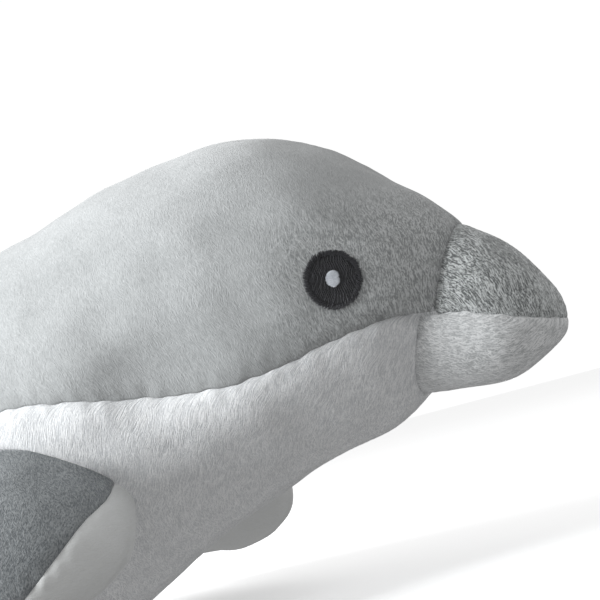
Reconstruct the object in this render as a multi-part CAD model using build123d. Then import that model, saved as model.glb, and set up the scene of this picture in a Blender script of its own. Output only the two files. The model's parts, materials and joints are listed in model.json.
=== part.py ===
from build123d import *

import os
from math import atan2, cos, degrees, radians, sin, tan

# Plush dolphin, lying on its belly. Millimetres, +X towards the beak, +Y to the animal's left, +Z up.
# The origin is the centre of the bounding box, on the floor.
# Every cover is plush cloth over a filling. A cover panel is a shell, and a filling is one lump.

# ---------------------------------------------------------------- driving dimensions
COVER = 3.0              # plush cloth with its pile, pressed flat
GAP = 0.5                # air between parts that move against each other
THREAD_PROUD = 1.0       # how far embroidery and stitches stand above the cloth
REACH = 400.0            # larger than the toy, for cutting tools

# Cross-sections of the body, nose to tail: top x, top z, bottom x, bottom z, half width.
# The belly dips below the floor line, where the floor presses it flat.
BODY_SECTIONS = [
    (244, 110, 219, 59, 28), (236, 121, 212, 54, 36), (222, 136, 200, 50, 45), (199, 153, 182, 47, 54),
    (170, 161, 158, 39, 60), (137, 159, 130, 29, 64), (100, 153, 98, 13, 67), (60, 144, 62, -2, 68),
    (15, 134, 20, -4, 65), (-40, 119, -30, -3, 57), (-95, 101, -85, 6, 45), (-150, 84, -145, 22, 31),
    (-205, 70, -203, 34, 19),
]
# Cross-sections of the beak, from its ring seam to its blunt tip.
BEAK_SECTIONS = [
    (244, 110, 219, 59, 28), (256, 101, 232, 58, 27), (264, 89, 248, 57, 22), (269, 79, 262, 62, 13),
    (270, 73, 269, 68, 3),
]
# Side view of the seam between grey back and white belly: x, z.
SIDE_SEAM = [
    (276, 69), (237, 83), (212, 82.5), (172, 76.5), (135, 82), (100, 88), (50, 84), (-30, 68), (-118, 52),
    (-215, 50),
]

BEAK_NOD = 8.5           # degrees of room that the beak has, each way

EYE_DIAMETER = 18.5
EYE_HIGHLIGHT = 5.0
EYE_CENTRE = (213, 44, 99)
EYE_DIRECTION = (0.45, 0.87, 0.12)

TAIL_SEAM_X = -118.0
TAIL_PIVOT_Z = 54.0
TAIL_LUMP_RADIUS = 29.0
TAIL_ROOM = 18.5         # degrees that the covers are cut back, for sway in front and for bend behind
TAIL_END_X = -187.3

# Flipper: rows along its span give span, leading edge, trailing edge, half thickness.
FLIPPER_HINGE = (95, 75.2, 50)          # middle of the root, outside the body
FLIPPER_DROP = 38.0                     # degrees below level
FLIPPER_YAW = 8.0                       # degrees that the root line runs out towards the tail
FLIPPER_ROOT_RADIUS = 13.0
FLIPPER_ROOT_CHORD = (29, -33)
FLIPPER_ROWS = [(18, 26, -50, 13), (36, 16, -62, 11), (48, -4, -68, 8), (54, -26, -69, 4)]

# Dorsal fin: the same kind of rows, standing on a line along the back.
DORSAL_FRONT = (52, 143)
DORSAL_REAR = (-34, 120)
DORSAL_ROOT_RADIUS = 8.0
DORSAL_ROOT_CHORD = (38, -38)
DORSAL_ROWS = [(16, 30, -36, 7.5), (32, 10, -40, 6), (46, -16, -46, 3.5)]

# Fluke: half of its rows, from the middle outwards: y, leading edge x, trailing edge x, half thickness.
FLUKE_HINGE_X = -205.0
FLUKE_HINGE_Z = 52.0
FLUKE_ROOT_RADIUS = 16.5
FLUKE_ROWS = [(0, -197, -242, 13), (26, -206, -251, 11.5), (52, -221, -261, 9), (74, -239, -267, 6), (88, -254, -268, 3)]

STITCH_COUNT = 9
STITCH_PITCH = 4.5
STITCH_START_X = -52.0
STITCH_WIDTH = 1.2
STITCH_HEIGHT = 5.0


# ---------------------------------------------------------------- helpers
def cross_section(top_x, top_z, bottom_x, bottom_z, half_width, inset):
    """An oval face that spans a top and a bottom point of the side view."""
    middle = ((top_x + bottom_x) / 2, 0, (top_z + bottom_z) / 2)
    rise = Vector(top_x - bottom_x, 0, top_z - bottom_z)
    up = rise.normalized()
    plane = Plane(origin=middle, x_dir=(0, 1, 0), z_dir=(up.Z, 0, -up.X))
    return plane * Ellipse(max(half_width - inset, 0.6), max(rise.length / 2 - inset, 0.6))


def lofted(sections, inset=0.0):
    """A smooth solid through oval cross-sections, pulled in by inset."""
    return loft([cross_section(*section, inset) for section in sections])


def slab(x_low, x_high):
    """Everything between two planes across the body."""
    return Pos((x_low + x_high) / 2, 0, 0) * Box(x_high - x_low, REACH, REACH)


def side(sign):
    """Everything on the left (+1) or right (-1) of the middle plane."""
    return Pos(0, sign * REACH / 2, 0) * Box(2 * REACH, REACH, 2 * REACH)


def above(height):
    """Everything above a level."""
    return Pos(0, 0, height + REACH / 2) * Box(2 * REACH, REACH, REACH)


def wedge_prism(points, plane):
    """A polygon drawn on a plane, made into a prism that reaches both ways."""
    return extrude(plane * make_face(Polyline(*points, close=True)), amount=REACH / 2, both=True)


def above_side_seam():
    """Everything above the seam that runs along the toy's side."""
    seam = Spline(*[(x, z) for x, z in SIDE_SEAM])
    first, last = SIDE_SEAM[0], SIDE_SEAM[-1]
    frame_line = Polyline(last, (last[0], REACH), (first[0], REACH), first)
    return extrude(Plane.XZ * make_face(Curve() + [seam, frame_line]), amount=REACH / 2, both=True)


def paddle(plane, rows, root_radius, root_chord, inset=0.0):
    """A puffed fin on a plane whose x runs along the chord and whose z runs along the span.

    Its root is round about the hinge line through the plane's origin, so it turns without hitting anything.
    """
    ovals = []
    chord_half = (root_chord[0] - root_chord[1]) / 2
    chord_middle = (root_chord[0] + root_chord[1]) / 2
    for turn in (-45, 0):
        half = chord_half * cos(radians(turn)) ** 0.5
        radius = root_radius * cos(radians(turn))
        span = root_radius * sin(radians(turn))
        ovals.append((span, chord_middle + half, chord_middle - half, radius))
    ovals += rows
    faces = []
    for number, (span, lead, trail, half_thickness) in enumerate(ovals):
        shift = inset if number == 0 else -inset if number == len(ovals) - 1 else 0.0
        oval = Ellipse(max((lead - trail) / 2 - inset, 0.5), max(half_thickness - inset, 0.5))
        faces.append(plane * Pos((lead + trail) / 2, 0, span + shift) * oval)
    return loft(faces)


def half_of(plane, sign):
    """Everything on one side of a fin's middle sheet."""
    return plane * Pos(0, sign * REACH / 2, 0) * Box(2 * REACH, REACH, 2 * REACH)


def first_solid(shape):
    """The largest solid of a result, which drops slivers that a cut may leave."""
    return max(shape.solids(), key=lambda solid: solid.volume)


def write(name, shape):
    shape.label = name
    export_step(shape, f"parts/{name}.step")


# ---------------------------------------------------------------- body, tail and beak covers
os.makedirs("parts", exist_ok=True)

grey_side = above_side_seam()
white_side = above(-REACH / 2) - grey_side

body_outer = lofted(BODY_SECTIONS) & above(0)
body_inner = lofted(BODY_SECTIONS, COVER) & above(COVER)
proud_skin = lofted(BODY_SECTIONS, -THREAD_PROUD) - lofted(BODY_SECTIONS)
body_cover = body_outer - body_inner

# The body ends behind the head at the ring seam of the beak and in front of the tail at the tail's ring seam.
# The body's rear edge is cut back to both sides, so that the tail can sway.
tail_cut = tan(radians(TAIL_ROOM)) * REACH
body_zone = wedge_prism(
    [(TAIL_SEAM_X + 2 * GAP, 0), (TAIL_SEAM_X + 2 * GAP + tail_cut, REACH), (REACH, REACH), (REACH, -REACH),
     (TAIL_SEAM_X + 2 * GAP + tail_cut, -REACH)],
    Plane.XY,
)
tail_pivot = (TAIL_SEAM_X, 0, TAIL_PIVOT_Z)
tail_socket = Pos(*tail_pivot) * Sphere(TAIL_LUMP_RADIUS + GAP)

torso_cover = body_cover & body_zone
torso_grey = torso_cover & grey_side
back_panel_left = first_solid(torso_grey & side(1))
back_panel_right = first_solid(torso_grey & side(-1))
belly_panel = first_solid(torso_cover - grey_side)
body_stuffing = first_solid((body_inner & body_zone) - tail_socket)

# The tail's front edge is cut back above and below, so that the tail can bend.
tail_front = TAIL_SEAM_X - 2 * GAP
tail_zone = wedge_prism(
    [(tail_front, TAIL_PIVOT_Z), (tail_front - tail_cut, TAIL_PIVOT_Z + REACH), (-2 * REACH, TAIL_PIVOT_Z + REACH),
     (-2 * REACH, TAIL_PIVOT_Z - REACH), (tail_front - tail_cut, TAIL_PIVOT_Z - REACH)],
    Plane.XZ,
) & slab(TAIL_END_X, REACH)
tail_cover = (body_outer - body_inner) & tail_zone
tail_grey = tail_cover & grey_side
tail_panel_left = first_solid(tail_grey & side(1))
tail_panel_right = first_solid(tail_grey & side(-1))
tail_under_panel = first_solid(tail_cover - grey_side)
tail_stuffing = first_solid((body_inner & tail_zone) - tail_socket)

# The lump of stuffing that the tail turns on, and the turned-in cloth edge of the ring seam around it.
tail_root_stuffing = Pos(*tail_pivot) * Sphere(TAIL_LUMP_RADIUS)
ring_edge = lofted(BODY_SECTIONS, COVER / 2) & slab(TAIL_SEAM_X - GAP, TAIL_SEAM_X + GAP)
tail_seam_allowance = first_solid(ring_edge - tail_root_stuffing)

# Beak: its rear edge is cut back above and below the hinge line, so that it can nod.
top_x, top_z, bottom_x, bottom_z, _ = BEAK_SECTIONS[0]
ring_tilt = degrees(atan2(top_x - bottom_x, top_z - bottom_z))
ring_middle = ((top_x + bottom_x) / 2, (top_z + bottom_z) / 2)
nod_cut = tan(radians(BEAK_NOD)) * REACH
beak_zone = Pos(ring_middle[0], 0, ring_middle[1]) * Rot(0, ring_tilt, 0) * wedge_prism(
    [(GAP, 0), (GAP + nod_cut, REACH), (REACH, REACH), (REACH, -REACH), (GAP + nod_cut, -REACH)], Plane.XZ)
beak_outer = lofted(BEAK_SECTIONS)
beak_inner = lofted(BEAK_SECTIONS, COVER)
beak_cover = (beak_outer - beak_inner) & beak_zone
beak_upper_panel = first_solid(beak_cover & grey_side)
beak_lower_panel = first_solid(beak_cover - grey_side)
beak_stuffing = first_solid(beak_inner & beak_zone)

# ---------------------------------------------------------------- eyes and closing stitches
eyes = {}
for name, sign in (("left", 1), ("right", -1)):
    centre = (EYE_CENTRE[0], sign * EYE_CENTRE[1], EYE_CENTRE[2])
    direction = (EYE_DIRECTION[0], sign * EYE_DIRECTION[1], EYE_DIRECTION[2])
    eye_plane = Plane(origin=centre, z_dir=direction)
    disc = eye_plane * Cylinder(EYE_DIAMETER / 2, 4 * EYE_HIGHLIGHT)
    dot = eye_plane * Cylinder(EYE_HIGHLIGHT / 2, 4 * EYE_HIGHLIGHT)
    eyes[f"eye_{name}"] = first_solid(proud_skin & disc - dot)
    eyes[f"eye_highlight_{name}"] = first_solid(proud_skin & dot)

# A ladder of short stitches closes the left side seam, where the filling went in.
stitches = []
for number in range(STITCH_COUNT):
    x = STITCH_START_X - number * STITCH_PITCH
    seam_z = SIDE_SEAM[7][1] + (x - SIDE_SEAM[7][0]) * (SIDE_SEAM[8][1] - SIDE_SEAM[7][1]) / (
        SIDE_SEAM[8][0] - SIDE_SEAM[7][0])
    bar = Pos(x, REACH / 4, seam_z) * Box(STITCH_WIDTH, REACH / 2, STITCH_HEIGHT)
    stitches.append(first_solid(proud_skin & bar))
closing_stitches = Compound(children=stitches)

# ---------------------------------------------------------------- flippers, dorsal fin and fluke
fins = {}
for name, sign in (("left", 1), ("right", -1)):
    drop, yaw = radians(FLIPPER_DROP), radians(FLIPPER_YAW)
    span_direction = Vector(sin(yaw) * cos(drop), sign * cos(yaw) * cos(drop), -sin(drop))
    hinge = (FLIPPER_HINGE[0], sign * FLIPPER_HINGE[1], FLIPPER_HINGE[2])
    flipper_plane = Plane(origin=hinge, x_dir=(cos(yaw), -sign * sin(yaw), 0), z_dir=span_direction)
    outer = paddle(flipper_plane, FLIPPER_ROWS, FLIPPER_ROOT_RADIUS, FLIPPER_ROOT_CHORD)
    inner = paddle(flipper_plane, FLIPPER_ROWS, FLIPPER_ROOT_RADIUS, FLIPPER_ROOT_CHORD, COVER * 0.7)
    cover = outer - inner
    upper_half = half_of(flipper_plane, 1 if flipper_plane.y_dir.Z > 0 else -1)
    fins[f"flipper_{name}_top_panel"] = first_solid(cover & upper_half)
    fins[f"flipper_{name}_under_panel"] = first_solid(cover - upper_half)
    fins[f"flipper_{name}_stuffing"] = first_solid(inner)

slope = Vector(DORSAL_FRONT[0] - DORSAL_REAR[0], 0, DORSAL_FRONT[1] - DORSAL_REAR[1]).normalized()
rise = Vector(-slope.Z, 0, slope.X)
dorsal_root = Vector((DORSAL_FRONT[0] + DORSAL_REAR[0]) / 2, 0, (DORSAL_FRONT[1] + DORSAL_REAR[1]) / 2)
dorsal_hinge = dorsal_root + rise * (DORSAL_ROOT_RADIUS + 2 * GAP)
dorsal_plane = Plane(origin=dorsal_hinge, x_dir=slope, z_dir=rise)
dorsal_outer = paddle(dorsal_plane, DORSAL_ROWS, DORSAL_ROOT_RADIUS, DORSAL_ROOT_CHORD)
dorsal_inner = paddle(dorsal_plane, DORSAL_ROWS, DORSAL_ROOT_RADIUS, DORSAL_ROOT_CHORD, COVER * 0.7)
dorsal_cover = dorsal_outer - dorsal_inner
fins["dorsal_left_panel"] = first_solid(dorsal_cover & side(1))
fins["dorsal_right_panel"] = first_solid(dorsal_cover & side(-1))
fins["dorsal_stuffing"] = first_solid(dorsal_inner)


def fluke_solid(inset):
    """Both blades of the fluke in one loft across the tail, with a round root about the hinge line."""
    rows = [(-y, lead, trail, half) for y, lead, trail, half in reversed(FLUKE_ROWS[1:])] + FLUKE_ROWS
    faces = []
    for number, (y, lead, trail, half) in enumerate(rows):
        shift = inset if number == 0 else -inset if number == len(rows) - 1 else 0.0
        plane = Plane(origin=((lead + trail) / 2, y + shift, FLUKE_HINGE_Z), x_dir=(1, 0, 0), z_dir=(0, 1, 0))
        faces.append(plane * Ellipse(max((lead - trail) / 2 - inset, 0.5), max(half - inset, 0.5)))
    root = Pos(FLUKE_HINGE_X, 0, FLUKE_HINGE_Z) * Sphere(FLUKE_ROOT_RADIUS - inset)
    return loft(faces) + root


fluke_outer = fluke_solid(0.0)
fluke_inner = fluke_solid(COVER * 0.6)
fluke_cover = fluke_outer - fluke_inner
fins["fluke_top_panel"] = first_solid(fluke_cover & above(FLUKE_HINGE_Z))
fins["fluke_under_panel"] = first_solid(fluke_cover - above(FLUKE_HINGE_Z))
fins["fluke_stuffing"] = first_solid(fluke_inner)

# ---------------------------------------------------------------- files
nodes = {
    "back_panel_left": back_panel_left, "back_panel_right": back_panel_right, "belly_panel": belly_panel,
    "body_stuffing": body_stuffing, "beak_upper_panel": beak_upper_panel, "beak_lower_panel": beak_lower_panel,
    "beak_stuffing": beak_stuffing, "tail_panel_left": tail_panel_left, "tail_panel_right": tail_panel_right,
    "tail_under_panel": tail_under_panel, "tail_stuffing": tail_stuffing,
    "tail_root_stuffing": tail_root_stuffing, "tail_seam_allowance": tail_seam_allowance,
    "closing_stitches": closing_stitches, **eyes, **fins,
}
for node_name, node_shape in nodes.items():
    write(node_name, node_shape)
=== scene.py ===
"""Looks of a stuffed plush dolphin: sewn covers, embroidered eyes, closing stitches and a plain studio."""
import json
import logging
import math
from collections.abc import Callable
from dataclasses import dataclass
from enum import Enum

import bmesh
import bpy
import numpy as np
from mathutils import Matrix, Vector


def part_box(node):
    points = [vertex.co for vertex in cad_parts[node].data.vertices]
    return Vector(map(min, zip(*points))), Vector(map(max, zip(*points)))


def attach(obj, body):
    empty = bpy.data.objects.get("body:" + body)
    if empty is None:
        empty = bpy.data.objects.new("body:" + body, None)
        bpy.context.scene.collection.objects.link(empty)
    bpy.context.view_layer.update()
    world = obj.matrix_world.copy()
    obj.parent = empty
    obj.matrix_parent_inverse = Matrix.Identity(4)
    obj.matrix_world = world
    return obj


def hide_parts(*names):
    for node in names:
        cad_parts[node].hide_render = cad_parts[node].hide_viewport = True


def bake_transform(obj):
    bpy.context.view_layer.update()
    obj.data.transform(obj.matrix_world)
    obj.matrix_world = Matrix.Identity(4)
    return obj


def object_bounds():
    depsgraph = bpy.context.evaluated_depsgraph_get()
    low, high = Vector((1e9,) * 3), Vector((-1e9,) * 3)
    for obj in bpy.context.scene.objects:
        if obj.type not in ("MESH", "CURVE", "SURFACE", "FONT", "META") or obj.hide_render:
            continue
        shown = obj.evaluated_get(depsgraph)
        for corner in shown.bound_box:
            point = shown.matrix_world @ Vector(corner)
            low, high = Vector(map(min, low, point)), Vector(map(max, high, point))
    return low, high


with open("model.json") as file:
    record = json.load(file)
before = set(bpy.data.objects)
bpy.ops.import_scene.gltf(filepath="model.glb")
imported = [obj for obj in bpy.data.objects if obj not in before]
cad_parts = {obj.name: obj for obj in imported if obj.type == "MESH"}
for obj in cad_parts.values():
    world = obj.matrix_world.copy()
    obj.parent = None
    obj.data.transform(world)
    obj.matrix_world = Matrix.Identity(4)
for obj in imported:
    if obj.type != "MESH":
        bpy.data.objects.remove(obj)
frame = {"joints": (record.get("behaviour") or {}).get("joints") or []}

LOG = logging.getLogger("dolphin")
MM = 0.001
CAD_BOX = [list(corner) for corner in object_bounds()]
RUFFLED_FROM, RUFFLED_FULLY = 190.0, 236.0      # mm along the toy: the pile stands rougher towards the face
RUFFLED_TOP, RUFFLED_BELOW = 130.0, 108.0       # mm above the floor: it lies smooth on the forehead
Angles = Callable[[np.ndarray], tuple]          # gives a panel's first and last angle at each place


# ------------------------------------------------------------------ curves and surface noise
class CubicThrough:
    """A smooth curve through rows of numbers, bent like a thin spring."""

    def __init__(self, at: np.ndarray, rows: np.ndarray) -> None:
        """Solves the curve's bends.

        Args:
            at: where along the curve each row is, rising.
            rows: one row of numbers for each place.
        """
        self.at = np.asarray(at, float)
        self.rows = np.asarray(rows, float)
        count, gap = len(self.at), np.diff(self.at)
        system, right = np.eye(count), np.zeros_like(self.rows)
        for i in range(1, count - 1):
            system[i, i - 1:i + 2] = gap[i - 1], 2 * (gap[i - 1] + gap[i]), gap[i]
            ahead = (self.rows[i + 1] - self.rows[i]) / gap[i]
            behind = (self.rows[i] - self.rows[i - 1]) / gap[i - 1]
            right[i] = 6 * (ahead - behind)
        self.bends = np.linalg.solve(system, right)

    def __call__(self, places: np.ndarray) -> np.ndarray:
        """Reads the curve.

        Args:
            places: where along the curve, in any array shape.

        Returns:
            The rows there, with the row's numbers on the last axis.
        """
        where = np.clip(places, self.at[0], self.at[-1])
        i = np.clip(np.searchsorted(self.at, where, side="right") - 1, 0, len(self.at) - 2)
        gap = (self.at[i + 1] - self.at[i])[..., None]
        a = (self.at[i + 1] - where)[..., None] / gap
        b = 1 - a
        bent = ((a ** 3 - a) * self.bends[i] + (b ** 3 - b) * self.bends[i + 1]) * gap ** 2 / 6
        return a * self.rows[i] + b * self.rows[i + 1] + bent


class Ripple:
    """Smooth random unevenness in space, made of crossing waves of about one length."""

    def __init__(self, length: float, seed: int, waves: int = 24, stretch: tuple = (1.0, 1.0, 1.0)) -> None:
        """Draws the waves.

        Args:
            length: usual distance from crest to crest, in millimetres.
            seed: fixed seed of the draw.
            waves: how many waves cross.
            stretch: how much longer the waves are along each direction.
        """
        draw = np.random.default_rng(seed)
        ways = draw.normal(size=(waves, 3))
        ways /= np.linalg.norm(ways, axis=1)[:, None]
        lengths = length * draw.uniform(0.7, 1.5, waves)
        self.ways = ways * (2 * math.pi / lengths)[:, None] / np.array(stretch)
        self.phases = draw.uniform(0, 2 * math.pi, waves)

    def __call__(self, points: np.ndarray) -> np.ndarray:
        """Gives the height at points in millimetres; most heights lie between -1 and 1."""
        return np.sin(points @ self.ways.T + self.phases).sum(-1) / math.sqrt(len(self.phases))


def unit(vectors: np.ndarray) -> np.ndarray:
    """Gives vectors of length one."""
    return vectors / np.maximum(np.linalg.norm(vectors, axis=-1, keepdims=True), 1e-9)


def joint_place(name: str) -> np.ndarray:
    """Gives a joint's position in millimetres."""
    found = next(joint for joint in frame["joints"] if joint["name"] == name)
    return np.array(found["pos_m"]) / MM


# ------------------------------------------------------------------ the stuffed body and beak
@dataclass
class BodyForm:
    """The outer form of head, body, tail and beak as oval sections, in millimetres.

    A place on it is a distance from the beak's ring seam, positive towards the tail, and an angle round the
    section: 0 is the left side, 90 degrees is up and 180 degrees is the right side. A row of a section holds
    the x and z of its top, the x and z of its bottom, and its half width. The side seam's points are x and z.

    Attributes:
        upper_lead: how far the ring seam runs forward at the grey cheek's corner.
        lower_lead: how far it runs forward beside the mouth on the white side.
        corner: length over which it goes from one to the other.
        lead_behind: how far behind the ring the cloth is drawn forward with it, and lead_ahead how far ahead.
        seam_wander: how far the side seam wanders off its line.
    """

    body_rows: tuple = (
        (244, 110, 219, 59, 28), (236, 121, 212, 54, 36), (222, 136, 200, 50, 45), (199, 153, 182, 47, 54),
        (170, 161, 158, 39, 60), (137, 159, 130, 29, 64), (100, 153, 98, 14, 67), (60, 144, 62, 1, 68),
        (15, 134, 20, -2, 65), (-40, 119, -30, -1, 57), (-95, 101, -85, 7, 45), (-150, 84, -145, 22, 31),
        (-205, 70, -203, 34, 19),
    )
    beak_rows: tuple = (
        (244, 110, 219, 59, 28), (256, 101, 232, 58, 27), (264.5, 90.2, 248, 57, 22),
        (269.3, 79.8, 262, 62, 13), (270, 74, 269, 67, 5), (270.2, 70.6, 270.2, 70.4, 0.3),
    )
    side_seam: tuple = (
        (276, 69), (255, 76), (237, 83), (212, 82.5), (190, 78), (172, 76.5), (150, 78.5), (123, 85),
        (100, 88), (50, 84), (-30, 68), (-118, 52), (-215, 50),
    )
    upper_lead: float = 6.0
    lower_lead: float = 1.2
    corner: float = 0.8
    lead_behind: float = 20.0
    lead_ahead: float = 15.0
    seam_wander: float = 0.16

    def __post_init__(self) -> None:
        """Fits the curves through the rows."""
        self.body, self.body_length = self._curve(self.body_rows)
        self.beak, self.beak_length = self._curve(self.beak_rows)
        seam = np.array(self.side_seam[::-1], float)
        self.seam = CubicThrough(seam[:, 0], seam[:, 1:])
        top_x, top_z, bottom_x, bottom_z, self.ring_size = self.body_rows[0]
        self.forward = unit(np.array([top_z - bottom_z, 0, bottom_x - top_x], float))
        self.mouth = float(self.seam_angle(np.zeros(1))[0])
        self.places = np.linspace(-self.beak_length, self.body_length, 1200)
        self.middle_x = self.middle(self.places)[:, 0]

    @staticmethod
    def _curve(rows: tuple) -> tuple[CubicThrough, float]:
        """Fits one curve through section rows, by the length of its middle line and its change of width.

        Args:
            rows: section rows.

        Returns:
            The curve and its length.
        """
        table = np.array(rows, float)
        middle = np.stack([(table[:, 0] + table[:, 2]) / 2, (table[:, 1] + table[:, 3]) / 2, table[:, 4]], 1)
        steps = np.linalg.norm(np.diff(middle, axis=0), axis=1)
        at = np.concatenate([[0], np.cumsum(steps)])
        return CubicThrough(at, table), float(at[-1])

    def rows(self, place: np.ndarray) -> np.ndarray:
        """Gives the section rows at distances from the ring seam."""
        place = np.asarray(place, float)
        return np.where(place[..., None] >= 0, self.body(place), self.beak(-place))

    def middle(self, place: np.ndarray) -> np.ndarray:
        """Gives the middle points of the sections."""
        rows = self.rows(place)
        zero = np.zeros(rows.shape[:-1])
        return np.stack([(rows[..., 0] + rows[..., 2]) / 2, zero, (rows[..., 1] + rows[..., 3]) / 2], -1)

    def place_at(self, x: float) -> float:
        """Gives the distance whose section middle has that x."""
        return float(np.interp(-x, -self.middle_x, self.places))

    def ring_lead(self, angle: np.ndarray) -> np.ndarray:
        """Finds how far the ring seam runs forward: most at the mouth's corner, under the grey cheek.

        Args:
            angle: angles round the section.

        Returns:
            The lead at each angle.
        """
        lift = np.arcsin(np.clip(np.sin(angle), -1, 1))
        over = np.clip((math.pi / 2 - lift) / (math.pi / 2 - self.mouth), 0, 1)
        under = np.clip((lift + math.pi / 2) / (math.pi / 2 + self.mouth), 0, 1)
        below = np.exp(-np.maximum(self.mouth - lift, 0) * self.ring_size / self.corner)
        lower = self.lower_lead * under + (self.upper_lead - self.lower_lead) * below
        return np.where(lift >= self.mouth, self.upper_lead * over ** 0.7, lower)

    def surface(self, place: np.ndarray, angle: np.ndarray) -> np.ndarray:
        """Finds points on the smooth form, before the floor and the sewing shape it.

        Args:
            place: distances from the ring seam.
            angle: angles round the section.

        Returns:
            The points.
        """
        rows = self.rows(place)
        middle = self.middle(place)
        zero = np.zeros_like(angle)
        up = np.stack([(rows[..., 0] - rows[..., 2]) / 2, zero, (rows[..., 1] - rows[..., 3]) / 2], -1)
        out = np.stack([zero, rows[..., 4] * np.cos(angle), zero], -1)
        nearness = np.exp(-(place / np.where(place > 0, self.lead_behind, self.lead_ahead)) ** 2)
        forward = (self.ring_lead(angle) * nearness)[..., None] * self.forward
        return middle + up * np.sin(angle)[..., None] + out + forward

    def normal(self, place: np.ndarray, angle: np.ndarray) -> np.ndarray:
        """Finds outward directions on the smooth form.

        Args:
            place: distances from the ring seam.
            angle: angles round the section.

        Returns:
            One unit vector for each point.
        """
        step = 0.5
        inside = np.clip(place, -self.beak_length + 2 * step, self.body_length - 2 * step)
        along = self.surface(inside + step, angle) - self.surface(inside - step, angle)
        turn = 0.02
        around = self.surface(inside, angle + turn) - self.surface(inside, angle - turn)
        return unit(np.cross(along, around))

    def locate(self, points: np.ndarray, place: float, angle: float) -> tuple[np.ndarray, np.ndarray]:
        """Finds the nearest places on the smooth form.

        Args:
            points: points near the form.
            place: first guess of the distance from the ring seam.
            angle: first guess of the angle round the section.

        Returns:
            Places and angles.
        """
        shape = points.shape[:-1]
        place, angle = np.full(shape, float(place)), np.full(shape, float(angle))
        for _ in range(12):
            here = self.surface(place, angle)
            along = self.surface(place + 0.5, angle) - here
            around = self.surface(place, angle + 0.01) - here
            away = points - here
            aa, ab, bb = (along ** 2).sum(-1), (along * around).sum(-1), (around ** 2).sum(-1)
            pa, pb = (along * away).sum(-1), (around * away).sum(-1)
            scale = np.maximum(aa * bb - ab ** 2, 1e-12)
            place = place + 0.5 * (bb * pa - ab * pb) / scale
            angle = angle + 0.01 * (aa * pb - ab * pa) / scale
        return place, angle

    def seam_angle(self, place: np.ndarray) -> np.ndarray:
        """Finds the angle of the side seam on the left side, by halving.

        Args:
            place: distances from the ring seam.

        Returns:
            The seam's angle at each place.
        """
        rows = self.rows(place)
        low, high = np.full(np.shape(place), -0.999), np.full(np.shape(place), 0.999)
        for _ in range(40):
            lift = (low + high) / 2
            x = (rows[..., 0] + rows[..., 2]) / 2 + lift * (rows[..., 0] - rows[..., 2]) / 2
            z = (rows[..., 1] + rows[..., 3]) / 2 + lift * (rows[..., 1] - rows[..., 3]) / 2
            above = z > self.seam(x)[..., 0]
            low, high = np.where(above, low, lift), np.where(above, lift, high)
        wander = np.sin(place * 0.9) + np.sin(place * 0.53 + 2) + np.sin(place * 0.31 + 4)
        narrowest = 12
        return np.arcsin((low + high) / 2) + self.seam_wander * wander / np.maximum(rows[..., 4], narrowest)


@dataclass(frozen=True)
class Groove:
    """How a seam draws the cloth in along one edge of a panel.

    Attributes:
        depth: how deep the seam lies, in millimetres.
        width: how far from it the cloth recovers.
        pucker: height of the gathers beside it.
        dark: how strongly painted seam shade darkens the colour along this edge.
    """

    depth: float
    width: float
    pucker: float = 0.25
    dark: float = 1.0


@dataclass(frozen=True)
class Dent:
    """A local swelling (positive) or hollow (negative) of the stuffing."""

    centre: tuple
    radii: tuple
    height: float

    def lift(self, points: np.ndarray) -> np.ndarray:
        """Gives how far this moves points outwards, in millimetres."""
        away = (points - np.array(self.centre)) / np.array(self.radii)
        return self.height * np.exp(-(away ** 2).sum(-1))


@dataclass(frozen=True)
class Pile:
    """How one panel's short pile lies: its lean off the panel's length in degrees, and its tufts in mm."""

    lean: float = 0.0
    length: float = 3.2
    width: float = 1.5
    height: float = 0.12

    def comb(self, nap: np.ndarray) -> np.ndarray:
        """Turns positions on the cloth so that their first number runs along the pile.

        Args:
            nap: positions along and across the cloth.

        Returns:
            The turned positions.
        """
        turn = math.radians(self.lean)
        along = nap[..., 0] * math.cos(turn) + nap[..., 1] * math.sin(turn)
        across = nap[..., 1] * math.cos(turn) - nap[..., 0] * math.sin(turn)
        return np.stack([along, across, np.zeros_like(along)], -1)

    def lift(self, nap: np.ndarray, seed: int) -> np.ndarray:
        """Gives the height of the tufts over the cloth."""
        return self.height * Ripple(self.width, seed, 46, (self.length / self.width, 1.0, 1.0))(nap)


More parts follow.
